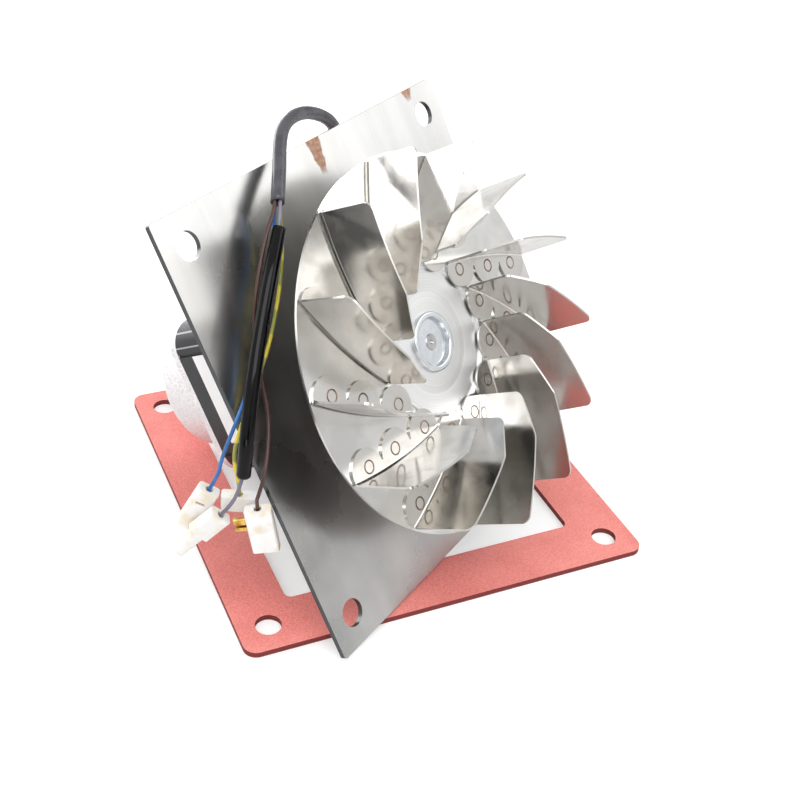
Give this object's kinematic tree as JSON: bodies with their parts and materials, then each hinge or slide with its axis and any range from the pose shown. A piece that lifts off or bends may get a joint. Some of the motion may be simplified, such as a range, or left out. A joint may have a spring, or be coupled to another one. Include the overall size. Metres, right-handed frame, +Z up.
{
  "type": "boiler_fan",
  "caption": "Boiler draught fan: bladed centrifugal wheel on a square mounting plate with its motor behind, cable with insulated push-on connectors, and its flange gasket",
  "frame": {"origin": "the centre of the gasket's underside, on the floor", "axes": "x to the right along the gasket's front edge, y to the back, z up"},
  "size_m": [0.2391, 0.2289, 0.201],
  "materials": {
    "gasket_sheet": "matte",
    "plate_steel": "satin",
    "wheel_steel": "polished",
    "zinc_steel": "satin",
    "bearing_steel": "polished",
    "shaft_steel": "satin",
    "rotor_steel": "matte",
    "cast_aluminium": "matte",
    "core_paint": "satin",
    "winding_copper": "matte",
    "black_plastic": "matte",
    "sheath_plastic": "satin",
    "sleeve_plastic": "gloss",
    "blue_insulation": "satin",
    "green_insulation": "satin",
    "brown_insulation": "satin",
    "grey_insulation": "satin",
    "cover_nylon": "satin",
    "terminal_brass": "polished"
  },
  "bodies": {
    "frame": {"gasket": "gasket_sheet", "mounting_plate": "plate_steel", "plate_screws": "zinc_steel", "standoffs": "zinc_steel", "front_end_bell": "cast_aluminium", "rear_end_bell": "cast_aluminium", "stator_core": "core_paint", "stator_winding": "winding_copper", "through_bolts": "zinc_steel", "front_bearing_outer": "bearing_steel", "front_bearing_balls": "bearing_steel", "rear_bearing_outer": "bearing_steel", "rear_bearing_balls": "bearing_steel", "bearing_spring": "bearing_steel", "cable_gland": "black_plastic", "cable_sheath": "sheath_plastic", "cable_sleeve": "sleeve_plastic", "wire_blue": "blue_insulation", "wire_green": "green_insulation", "wire_brown": "brown_insulation", "wire_grey": "grey_insulation", "connector_blue": "cover_nylon", "connector_green": "cover_nylon", "connector_brown": "cover_nylon", "connector_grey": "cover_nylon", "terminal_blue": "terminal_brass", "terminal_green": "terminal_brass", "terminal_brown": "terminal_brass", "terminal_grey": "terminal_brass"},
    "wheel": {"shaft": "shaft_steel", "rotor_core": "rotor_steel", "rotor_end_rings": "cast_aluminium", "front_bearing_inner": "bearing_steel", "rear_bearing_inner": "bearing_steel", "cooling_fan": "black_plastic", "impeller_disc": "wheel_steel", "hub": "zinc_steel", "hub_screw": "zinc_steel", "blade_01": "wheel_steel", "blade_02": "wheel_steel", "blade_03": "wheel_steel", "blade_04": "wheel_steel", "blade_05": "wheel_steel", "blade_06": "wheel_steel", "blade_07": "wheel_steel", "blade_08": "wheel_steel", "blade_09": "wheel_steel", "blade_10": "wheel_steel", "blade_11": "wheel_steel", "blade_12": "wheel_steel", "blade_13": "wheel_steel"}
  },
  "joints": [
    {"name": "wheel_spin", "type": "hinge", "parent": "frame", "child": "wheel", "pos_m": [-0.0055, -0.0222, 0.09518], "axis": [0.4717, -0.7263, 0.5], "continuous": true}
  ]
}
